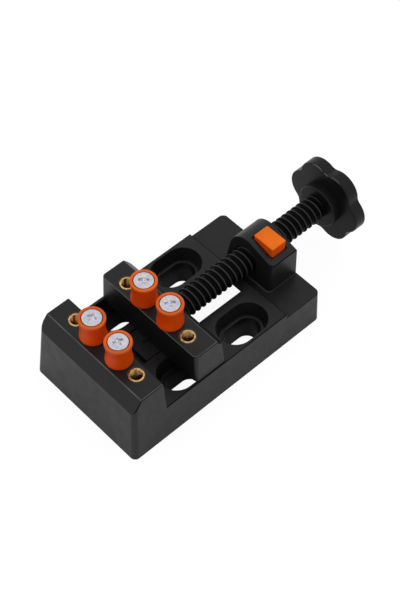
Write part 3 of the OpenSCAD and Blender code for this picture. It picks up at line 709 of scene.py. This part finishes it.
# The base and the sliding jaw get painted highlight and painted shade on their edges.
base_moulding = softened(
    "base", "base_moulding", BLACK_BODY, radius=0.3, worn=BLACK_HIGHLIGHT, dull=BLACK_SHADED, own=base_radius
)
jaw_moulding = softened(
    "moving_jaw", "sliding_jaw_moulding", BLACK_BODY, radius=0.3, worn=BLACK_HIGHLIGHT, dull=BLACK_SHADED,
    own=end_radius,
)
keeper_plate = softened("slide_keeper", "keeper_plate", BLACK_BODY, radius=0.25)
cover_plate = softened("latch_cover", "spring_cover", BLACK_BODY, radius=0.25)
# The knob: its darker copy of the plastic is painted shade, and its upper front edges get a painted
# highlight.
knob_moulding = softened(
    "star_knob", "star_knob_moulding", BLACK_KNOB_SHADED, radius=0.55, segments=3, worn=BLACK_HIGHLIGHT
)
button_moulding = softened(
    "release_button", "release_button_moulding", ORANGE_BUTTON, radius=0.8, segments=4, corner=50.0,
    worn=ORANGE_SIDE_SHADED,
)
# Faces that don't look up get the painted shade of the button's sides.
for face in button_moulding.data.polygons:
    face.material_index = 0 if face.normal.z > BUTTON_TOP else 1
for piece in (base_moulding, cover_plate):
    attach(piece, "base")
for piece in (jaw_moulding, keeper_plate):
    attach(piece, "sliding_jaw")
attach(knob_moulding, "screw")
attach(button_moulding, "button")
print("base moulding", len(base_moulding.data.polygons), "faces, jaw", len(jaw_moulding.data.polygons))

# %% [markdown]
# The lead screw is one rule: its radius depends on the place along the axis and on the angle
# round it, so that a crest climbs by one pitch in each turn. Geometry Nodes takes a plain
# tube, works out that radius for every point, and moves the point there.

# %% Helpers for Geometry Nodes
def geometry_tree(name, inputs):
    """A Geometry Nodes tree with named inputs and one geometry output."""
    tree = bpy.data.node_groups.new(name, "GeometryNodeTree")
    tree.interface.new_socket("Geometry", in_out="OUTPUT", socket_type="NodeSocketGeometry")
    for label, kind in inputs:
        tree.interface.new_socket(label, in_out="INPUT", socket_type="NodeSocket" + kind)
    return tree, tree.nodes.new("NodeGroupInput").outputs, tree.nodes.new("NodeGroupOutput").inputs


def math_in(tree):
    """A function that adds a math node to the tree and gives its output."""
    def work(operation, *values):
        node = tree.nodes.new("ShaderNodeMath")
        node.operation = operation
        for socket, value in zip(node.inputs, values):
            if isinstance(value, (int, float)):
                socket.default_value = value
            else:
                tree.links.new(value, socket)
        return node.outputs[0]
    return work


def falling(tree, value, start, end):
    """A node in the tree that falls from 1 at the start to 0 at the end."""
    node = tree.nodes.new("ShaderNodeMapRange")
    tree.links.new(value, node.inputs["Value"])
    tree.links.new(start, node.inputs["From Min"])
    tree.links.new(end, node.inputs["From Max"])
    node.inputs["To Min"].default_value = 1.0
    node.inputs["To Max"].default_value = 0.0
    return node


def grown(name, tree, values):
    """The piece that a tree makes from the given named inputs."""
    piece = bpy.data.objects.new(name, bpy.data.meshes.new(name))
    scene.collection.objects.link(piece)
    modifier = piece.modifiers.new(tree.name, "NODES")
    modifier.node_group = tree
    for item in tree.interface.items_tree:
        if item.in_out == "INPUT":
            modifier[item.identifier] = values[item.name]
    return settled(piece)


def finish_tree(tree, ins, outs, geometry):
    """Ends a tree: smooth, real geometry with its material."""
    smooth = tree.nodes.new("GeometryNodeSetShadeSmooth")
    real = tree.nodes.new("GeometryNodeRealizeInstances")
    paint = tree.nodes.new("GeometryNodeSetMaterial")
    tree.links.new(geometry, smooth.inputs["Geometry"])
    tree.links.new(smooth.outputs[0], real.inputs["Geometry"])
    tree.links.new(real.outputs[0], paint.inputs["Geometry"])
    tree.links.new(ins["Material"], paint.inputs["Material"])
    tree.links.new(paint.outputs[0], outs["Geometry"])
    print("tree", tree.name, "with", len(tree.nodes), "nodes")


print("helpers for trees ready")

# %% [markdown]
# The phase counts pitches from a marked crest, less the share of a turn, so it is a whole
# number on every crest. Its distance from a whole number gives the height of the ridge there,
# and marks the crest for its painted highlight. The ridge fades at both ends, and the plain
# parts in front and behind have their own radii: the journal, its neck and the shank in the
# knob.

# %% Thread tree
FLOATS = (
    "Length", "Front", "Height", "Pitch", "Crest", "Root", "Crest half", "Flank", "Mark", "Start", "End",
    "Run in", "Collar", "Neck", "Neck start", "Neck end", "Shank",
)
OTHERS = [("Sides", "Int"), ("Rings", "Int"), ("Material", "Material")]
# How far down the flank the painted crest highlight reaches, as a share.
HIGHLIGHT_FLANK = 0.3

tree, ins, outs = geometry_tree("lead screw", [(label, "Float") for label in FLOATS] + OTHERS)
work = math_in(tree)
tube = tree.nodes.new("GeometryNodeMeshCylinder")
tree.links.new(ins["Sides"], tube.inputs["Vertices"])
tree.links.new(ins["Rings"], tube.inputs["Side Segments"])
tree.links.new(ins["Length"], tube.inputs["Depth"])
at = tree.nodes.new("ShaderNodeSeparateXYZ")
tree.links.new(tree.nodes.new("GeometryNodeInputPosition").outputs[0], at.inputs[0])
along = work("ADD", work("ADD", at.outputs["Z"], work("MULTIPLY", ins["Length"], 0.5)), ins["Front"])
turns = work("DIVIDE", work("ARCTAN2", at.outputs["X"], at.outputs["Y"]), 2 * math.pi)
phase = work("SUBTRACT", work("DIVIDE", work("SUBTRACT", along, ins["Mark"]), ins["Pitch"]), turns)
off = work("MULTIPLY", work("ABSOLUTE", work("SUBTRACT", phase, work("ROUND", phase))), ins["Pitch"])
slope = falling(tree, off, ins["Crest half"], work("ADD", ins["Crest half"], ins["Flank"]))
slope.interpolation_type = "SMOOTHSTEP"
depth = work("SUBTRACT", ins["Crest"], ins["Root"])
fade_in = work("DIVIDE", work("SUBTRACT", along, ins["Start"]), ins["Run in"])
fade_out = work("DIVIDE", work("SUBTRACT", ins["End"], along), ins["Run in"])
fade = tree.nodes.new("ShaderNodeClamp")
tree.links.new(work("MINIMUM", fade_in, fade_out), fade.inputs["Value"])
ridge = work("MULTIPLY", work("MULTIPLY", slope.outputs["Result"], depth), fade.outputs[0])
behind_neck_start = work("GREATER_THAN", along, ins["Neck start"])
in_neck = work("MULTIPLY", behind_neck_start, work("LESS_THAN", along, ins["Neck end"]))
in_front = work("LESS_THAN", along, ins["Start"])
in_knob = work("GREATER_THAN", along, ins["End"])
shaft = work("ADD", ins["Root"], work("MULTIPLY", in_front, work("SUBTRACT", ins["Collar"], ins["Root"])))
shaft = work("ADD", shaft, work("MULTIPLY", in_neck, work("SUBTRACT", ins["Neck"], ins["Collar"])))
shaft = work("ADD", shaft, work("MULTIPLY", in_knob, work("SUBTRACT", ins["Shank"], ins["Root"])))
radius = work("ADD", shaft, ridge)
there = tree.nodes.new("ShaderNodeCombineXYZ")
tree.links.new(work("MULTIPLY", at.outputs["X"], radius), there.inputs["X"])
tree.links.new(along, there.inputs["Y"])
tree.links.new(work("ADD", work("MULTIPLY", at.outputs["Y"], radius), ins["Height"]), there.inputs["Z"])
move = tree.nodes.new("GeometryNodeSetPosition")
tree.links.new(there.outputs[0], move.inputs["Position"])
# The crest mask: where the thread gets its painted highlight.
crest_highlight_end = work("ADD", ins["Crest half"], work("MULTIPLY", ins["Flank"], HIGHLIGHT_FLANK))
crest_highlight = falling(tree, off, ins["Crest half"], crest_highlight_end)
keep = tree.nodes.new("GeometryNodeStoreNamedAttribute")
keep.inputs["Name"].default_value = "crest"
tree.links.new(tube.outputs["Mesh"], keep.inputs["Geometry"])
tree.links.new(work("MULTIPLY", crest_highlight.outputs["Result"], fade.outputs[0]), keep.inputs["Value"])
tree.links.new(keep.outputs[0], move.inputs["Geometry"])
flip = tree.nodes.new("GeometryNodeFlipFaces")
tree.links.new(move.outputs[0], flip.inputs["Mesh"])
finish_tree(tree, ins, outs, flip.outputs[0])

# %% [markdown]
# The tree's inputs are the real sizes in millimetres. Those that are places along the screw
# are counted from the front of the base.

# %% Lead screw
PITCH = 2.9
SCREW_SIDES = 80
RING_GAP = 0.145
ALONG_SCREW = ("Front", "Mark", "Start", "End", "Neck start", "Neck end")

screw_low, screw_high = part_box("lead_screw")
knob_front = (knob_low.y - FRONT) / MM
rod_front = (screw_low.y - FRONT) / MM
rod_back = (screw_high.y - FRONT) / MM
screw_values = {
    "Length": rod_back - rod_front, "Front": rod_front, "Height": AXIS, "Pitch": PITCH, "Crest": 5.7,
    "Root": 5.05, "Crest half": 0.18, "Flank": 0.75, "Mark": 71.4, "Start": 51.2, "End": knob_front,
    "Run in": 0.7, "Collar": 4.6, "Neck": 3.0, "Neck start": 41.3, "Neck end": 43.5, "Shank": 4.0,
}
screw_values = {label: value * MM for label, value in screw_values.items()}
for label in ALONG_SCREW:
    screw_values[label] += FRONT
rings = round((rod_back - rod_front) / RING_GAP)
screw_values.update({"Sides": SCREW_SIDES, "Rings": rings, "Material": BLACK_SCREW_SHADED})
lead_screw = grown("lead_screw_thread", tree, screw_values)
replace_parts(lead_screw, "lead_screw")
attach(lead_screw, "screw")
print("lead screw", len(lead_screw.data.polygons), "faces")

# %% [markdown]
# Posts and inserts are turned shapes: one profile goes round an upright axis. Corners of the
# profile carry their own radius, so a rim can be round where the moulding tool is round.

# %% Turned shapes
NEARLY_HALF = 0.49
TURNED_CREASE = 40.0


def rounded_profile(corners, steps=5):
    """Points (radius, height) in mm from corners (radius, height, corner radius)."""
    points = []
    for i, (r, z, size) in enumerate(corners):
        here = Vector((r, z))
        if size == 0:
            points.append(here)
            continue
        before = Vector(corners[i - 1][:2]) - here
        after = Vector(corners[(i + 1) % len(corners)][:2]) - here
        half = before.angle(after) / 2
        reach = min(size / math.tan(half), NEARLY_HALF * before.length, NEARLY_HALF * after.length)
        start = here + before.normalized() * reach
        end = here + after.normalized() * reach
        for k in range(steps + 1):
            t = k / steps
            points.append(start * (1 - t) ** 2 + here * 2 * t * (1 - t) + end * t**2)
    return points


def turned(name, points, middle, material, sides=72, thread=None, other=None, where=None):
    """A ring-shaped piece from a closed profile in mm, round a place in metres.

    thread(r, z, angle) may move a point in or out, and where(r, z) says which faces get the
    other material.
    """
    body = bmesh.new()
    rings = []
    for k in range(sides):
        angle = 2 * math.pi * k / sides
        across, back = math.sin(angle), math.cos(angle)
        ring = []
        for r, z in points:
            reach = (thread(r, z, angle) if thread else r) * MM
            at = (middle.x + reach * across, middle.y + reach * back, middle.z + z * MM)
            ring.append(body.verts.new(at))
        rings.append(ring)
    count = len(points)
    for k in range(sides):
        here, there = rings[k], rings[(k + 1) % sides]
        for j in range(count):
            n = (j + 1) % count
            face = body.faces.new((here[j], here[n], there[n], there[j]))
            between = (points[j] + points[n]) / 2
            face.material_index = 1 if where and where(*between) else 0
    bmesh.ops.recalc_face_normals(body, faces=body.faces)
    mesh = bpy.data.meshes.new(name)
    body.to_mesh(mesh)
    body.free()
    piece = new_piece(name, mesh, material)
    mesh.materials.append(other or material)
    mesh.shade_smooth()
    mesh.set_sharp_from_angle(angle=math.radians(TURNED_CREASE))
    return piece


square = [(1, 0, 0), (2, 0, 0.2), (2, 1, 0), (1, 1, 0)]
print("a square with one round corner:", len(rounded_profile(square)), "points")

# %% [markdown]
# A grip post is waisted between two plain rims. Its rounded upper rim has a paler orange, a
# painted highlight, and its body a darker, redder orange, painted shade. The screw's head
# stands in a seat in its top.

# %% Grip posts
POST_HEIGHT = 11.4
RIM = 5.55
WAIST = 5.05
WAIST_STEPS = 12
WAIST_FULLNESS = 0.9
RIM_HEIGHT = 1.0
RIM_ROUND = 0.75
HEAD_SEAT = 9.15
HEAD_HOLE = 4.35
SHANK_HOLE = 2.7

waist_curve = []
for k in range(WAIST_STEPS + 1):
    t = k / WAIST_STEPS
    inwards = (RIM - WAIST) * math.sin(math.pi * t) ** WAIST_FULLNESS
    waist_curve.append((RIM - inwards, RIM_HEIGHT + (POST_HEIGHT - 2 * RIM_HEIGHT) * t, 0.0))
post_foot = [(SHANK_HOLE, 0, 0.15), (RIM, 0, 0.45)]
post_top = [
    (RIM, POST_HEIGHT, RIM_ROUND), (HEAD_HOLE, POST_HEIGHT, 0.2), (HEAD_HOLE, HEAD_SEAT, 0.1),
    (SHANK_HOLE, HEAD_SEAT, 0),
]
post_points = rounded_profile(post_foot + waist_curve + post_top)
for i in range(1, 5):
    low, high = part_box(f"post_{i}")
    # The rim at the top gets the painted highlight, and the rest the painted shade.
    post = turned(
        f"grip_post_{i}", post_points, over_middle(low, high, low.z), ORANGE_POST_SHADED, other=ORANGE_RIM_LIT,
        where=lambda r, z: z > POST_HEIGHT - RIM_ROUND,
    )
    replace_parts(post, f"post_{i}")
    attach(post, "base" if i < 3 else "sliding_jaw")
print("post", len(post.data.polygons), "faces,", round(1000 * (high.z - low.z), 2), "mm high")

# %% [markdown]
# A brass insert has a groove round its outside, and a thread in its bore that winds by one
# pitch a turn and fades towards both chamfers.

# %% Threaded inserts
INSERT_R = 3.2
INSERT_LENGTH = 6.5
INSERT_SIDES = 64
GROOVE_R = 2.8
BORE = 2.1
BORE_FOOT = 0.45
BORE_TOP = 6.08
BORE_DEPTH = 0.3
BORE_PITCH = 0.7
BORE_STEPS = 64
ON_BORE = 0.01
THREAD_FOOT = 0.5
THREAD_TOP = 6.0
THREAD_FADE = 0.3
CHAMFER = 0.4


def bore_thread(r, z, angle):
    """The inner wall winds in and out; all other points stay."""
    if r > BORE + ON_BORE or not THREAD_FOOT < z < THREAD_TOP:
        return r
    turn = (z / BORE_PITCH - angle / (2 * math.pi)) % 1
    fade = min(1, (z - THREAD_FOOT) / THREAD_FADE, (THREAD_TOP - z) / THREAD_FADE)
    return r + BORE_DEPTH * (0.5 - 0.5 * math.cos(2 * math.pi * turn)) * fade


insert_corners = [
    (BORE, BORE_FOOT, 0), (BORE + 0.35, 0, 0.1), (INSERT_R, 0, 0.2),
    (INSERT_R, 2.6, 0.1), (GROOVE_R, 2.65, 0.1), (GROOVE_R, 3.85, 0.1), (INSERT_R, 3.9, 0.1),
    (INSERT_R, INSERT_LENGTH, 0.22), (BORE + 0.42, INSERT_LENGTH, 0.12), (BORE, BORE_TOP, 0),
]
bore_wall = [
    Vector((BORE, BORE_TOP - (BORE_TOP - BORE_FOOT) * k / BORE_STEPS)) for k in range(1, BORE_STEPS)
]
insert_points = rounded_profile(insert_corners, 4) + bore_wall
for i in range(1, 9):
    low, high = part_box(f"insert_{i}")
    # The bore and its chamfer get the brass with painted shade and reflections.
    insert = turned(
        f"threaded_insert_{i}", insert_points, over_middle(low, high, low.z), BRASS, INSERT_SIDES,
        bore_thread, BORE_BRASS_SHADED, lambda r, z: r < BORE + CHAMFER,
    )
    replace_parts(insert, f"insert_{i}")
    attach(insert, "base" if i < 5 else "sliding_jaw")
print("insert", len(insert.data.polygons), "faces")

# %% [markdown]
# Crossed screws share one recipe: a turned pan head and shank, and a tapered cross that is
# cut out of the head. The cross narrows downwards and ends in a small cone, as the driver's
# tip does. Its walls keep their own material after the cut, so a recess can carry a painted
# highlight, brighter than the head.

# %% Crossed screws
HEAD_SIDES = 64
HEAD_CREASE = 35.0
TIP_SHARE = 0.75
TIP_LENGTH = 0.5
CROWN_SHARE = 0.55
CROWN_ROUND = 2.0
ABOVE_HEAD = 0.5
WIDE, NARROW = 1.06, 0.62
CONE = 0.35
TOUCHING = 0.001


def screw_blank(name, material, length, head_r, head_h, shank_r, dome):
    """A turned head and shank, along -Z from the origin under the head; sizes in mm."""
    points = rounded_profile([
        (0, -length, 0), (shank_r * TIP_SHARE, -length, 0), (shank_r, -length + shank_r * TIP_LENGTH, 0),
        (shank_r, 0, 0.1), (head_r, 0, 0.15), (head_r, head_h - dome, dome),
        (head_r * CROWN_SHARE, head_h, CROWN_ROUND), (0, head_h, 0),
    ])
    body = bmesh.new()
    line = [body.verts.new((r * MM, 0, z * MM)) for r, z in points]
    edges = [body.edges.new(pair) for pair in zip(line, line[1:])]
    bmesh.ops.spin(
        body, geom=line + edges, axis=(0, 0, 1), cent=(0, 0, 0), steps=HEAD_SIDES, angle=2 * math.pi,
        use_merge=True,
    )
    bmesh.ops.remove_doubles(body, verts=body.verts, dist=TOUCHING * MM)
    bmesh.ops.recalc_face_normals(body, faces=body.faces)
    mesh = bpy.data.meshes.new(name)
    body.to_mesh(mesh)
    body.free()
    return new_piece(name, mesh, material)


def cross_cutter(name, material, head_h, arm, arm_w, deep):
    """The solid of a recess: a cross that narrows downwards to a cone; sizes in mm."""
    cut = bmesh.new()
    outline = []
    for quarter in range(4):
        c, s = math.cos(quarter * math.pi / 2), math.sin(quarter * math.pi / 2)
        for x, y in ((arm, arm_w), (arm_w, arm_w), (arm_w, arm)):
            outline.append((x / 2 * c - y / 2 * s, x / 2 * s + y / 2 * c))
    levels = ((head_h + ABOVE_HEAD, WIDE), (head_h - deep, NARROW))
    upper, lower = [
        [cut.verts.new((x * share * MM, y * share * MM, z * MM)) for x, y in outline] for z, share in levels
    ]
    tip = cut.verts.new((0, 0, (head_h - deep - CONE) * MM))
    cut.faces.new(upper)
    for j in range(len(outline)):
        n = (j + 1) % len(outline)
        cut.faces.new((upper[j], lower[j], lower[n], upper[n]))
        cut.faces.new((lower[j], tip, lower[n]))
    bmesh.ops.recalc_face_normals(cut, faces=cut.faces)
    for face in cut.faces:
        face.material_index = 1
    mesh = bpy.data.meshes.new(name)
    cut.to_mesh(mesh)
    cut.free()
    return new_piece(name, mesh, material)


def crossed_screw(
    name, material, length, head_r, head_h, shank_r, arm, arm_w, deep, dome=0.35, inside=None
):
    """A screw along -Z from the origin under its head, from sizes in mm."""
    piece = screw_blank(name, material, length, head_r, head_h, shank_r, dome)
    piece.data.materials.append(inside or material)
    cutter = cross_cutter(name + "_recess", material, head_h, arm, arm_w, deep)
    cutter.data.materials.append(inside or material)
    boolean = piece.modifiers.new("recess", "BOOLEAN")
    boolean.operation = "DIFFERENCE"
    boolean.object = cutter
    boolean.solver = "EXACT"
    settled(piece)
    bpy.data.objects.remove(cutter)
    piece.data.shade_smooth()
    piece.data.set_sharp_from_angle(angle=math.radians(HEAD_CREASE))
    return piece


def stand_at(piece, at, turn, along=(0, 0, 1)):
    """Moves the mesh of a piece made at the origin to its place and direction."""
    point = Vector((0, 0, 1)).rotation_difference(Vector(along)).to_matrix().to_4x4()
    piece.data.transform(Matrix.Translation(at) @ point @ Matrix.Rotation(math.radians(turn), 4, "Z"))


print("helpers for crossed screws ready")

# %% [markdown]
# The post screws go down into the inserts under the posts. Each came to rest at its own
# angle, as screws do.

# %% Post screws
POST_SCREW = {"head_r": 4.05, "head_h": 2.6, "shank_r": 2.05, "arm": 4.6, "arm_w": 1.35, "deep": 1.25}
HEAD_TURNS = {1: 20, 2: 75, 3: 46, 4: 60}
for i, turn in HEAD_TURNS.items():
    low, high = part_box(f"post_screw_{i}")
    under_head = over_middle(low, high, high.z - POST_SCREW["head_h"] * MM)
    length = (under_head.z - low.z) / MM
    # The post screws' recesses get the zinc with painted highlight.
    head = crossed_screw(f"post_screw_piece_{i}", ZINC, length, **POST_SCREW, inside=RECESS_ZINC_HIGHLIT)
    stand_at(head, under_head, turn)
    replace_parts(head, f"post_screw_{i}")
    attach(head, "base" if i < 3 else "sliding_jaw")
print("post screw", len(head.data.polygons), "faces")

# %% [markdown]
# The keeper and the cover are held from below by small screws of the same kind, and a larger
# one holds the knob from behind.

# %% Small screws
SMALL_SCREW = {
    "head_r": 2.2, "head_h": 1.2, "shank_r": 1.05, "arm": 2.4, "arm_w": 0.7, "deep": 0.7, "dome": 0.25,
}
KNOB_SCREW = {"head_r": 3.6, "head_h": 2.0, "shank_r": 1.5, "arm": 4.0, "arm_w": 1.0, "deep": 1.1}
SMALL_TURN = 15.0
KNOB_TURN = 33.0
SMALL = {
    "keeper_screw_1": "sliding_jaw", "keeper_screw_2": "sliding_jaw",
    "cover_screw_1": "base", "cover_screw_2": "base",
}
for node, body in SMALL.items():
    low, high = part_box(node)
    under_head = over_middle(low, high, low.z + SMALL_SCREW["head_h"] * MM)
    length = (high.z - low.z) / MM - SMALL_SCREW["head_h"]
    small = crossed_screw(node + "_piece", ZINC, length, **SMALL_SCREW)
    stand_at(small, under_head, SMALL_TURN, (0, 0, -1))
    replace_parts(small, node)
    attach(small, body)
low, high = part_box("knob_screw")
under_head = Vector(((low.x + high.x) / 2, high.y - KNOB_SCREW["head_h"] * MM, (low.z + high.z) / 2))
length = (high.y - low.y) / MM - KNOB_SCREW["head_h"]
back_screw = crossed_screw("knob_screw_piece", ZINC, length, **KNOB_SCREW)
stand_at(back_screw, under_head, KNOB_TURN, (0, 1, 0))
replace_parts(back_screw, "knob_screw")
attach(back_screw, "screw")
print("small screws:", len(SMALL) + 1)

# %% [markdown]
# The fork that holds the neck of the lead screw is a punched plate, so it only gets small
# radii like the mouldings.

# %% Fork
fork = softened("screw_fork", "screw_fork_plate", ZINC, radius=0.2)
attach(fork, "sliding_jaw")
print("fork", len(fork.data.polygons), "faces")

# %% [markdown]
# The spring under the half nut is one round wire. A second tree sweeps a circle along a
# spiral.

# %% Release spring
SPIRAL_STEPS = 32
WIRE_SIDES = 10
WIRE = 0.35 * MM
COIL = 2.5 * MM
CURLS = 5.0
FLOATS = ("Coil radius", "Wire radius", "Height", "Curls")
OTHERS = [("Middle", "Vector"), ("Material", "Material")]

tree, ins, outs = geometry_tree("release spring", [(label, "Float") for label in FLOATS] + OTHERS)
work = math_in(tree)
spiral = tree.nodes.new("GeometryNodeCurveSpiral")
spiral.inputs["Resolution"].default_value = SPIRAL_STEPS
tree.links.new(ins["Curls"], spiral.inputs["Rotations"])
for end in ("Start Radius", "End Radius"):
    tree.links.new(ins["Coil radius"], spiral.inputs[end])
rise = work("SUBTRACT", ins["Height"], work("MULTIPLY", ins["Wire radius"], 2.0))
tree.links.new(rise, spiral.inputs["Height"])
wire = tree.nodes.new("GeometryNodeCurvePrimitiveCircle")
wire.inputs["Resolution"].default_value = WIRE_SIDES
tree.links.new(ins["Wire radius"], wire.inputs["Radius"])
sweep = tree.nodes.new("GeometryNodeCurveToMesh")
sweep.inputs["Fill Caps"].default_value = True
tree.links.new(spiral.outputs[0], sweep.inputs["Curve"])
tree.links.new(wire.outputs["Curve"], sweep.inputs["Profile Curve"])
shift = tree.nodes.new("GeometryNodeTransform")
tree.links.new(sweep.outputs[0], shift.inputs["Geometry"])
tree.links.new(ins["Middle"], shift.inputs["Translation"])
finish_tree(tree, ins, outs, shift.outputs[0])

low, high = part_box("release_spring")
spring_foot = over_middle(low, high, low.z + WIRE)
spring = grown("release_spring_wire", tree, {
    "Coil radius": COIL, "Wire radius": WIRE, "Height": high.z - low.z, "Curls": CURLS,
    "Middle": spring_foot, "Material": SPRING_STEEL,
})
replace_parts(spring, "release_spring")
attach(spring, "base")
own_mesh(spring)
print("spring", len(spring.data.polygons), "faces")
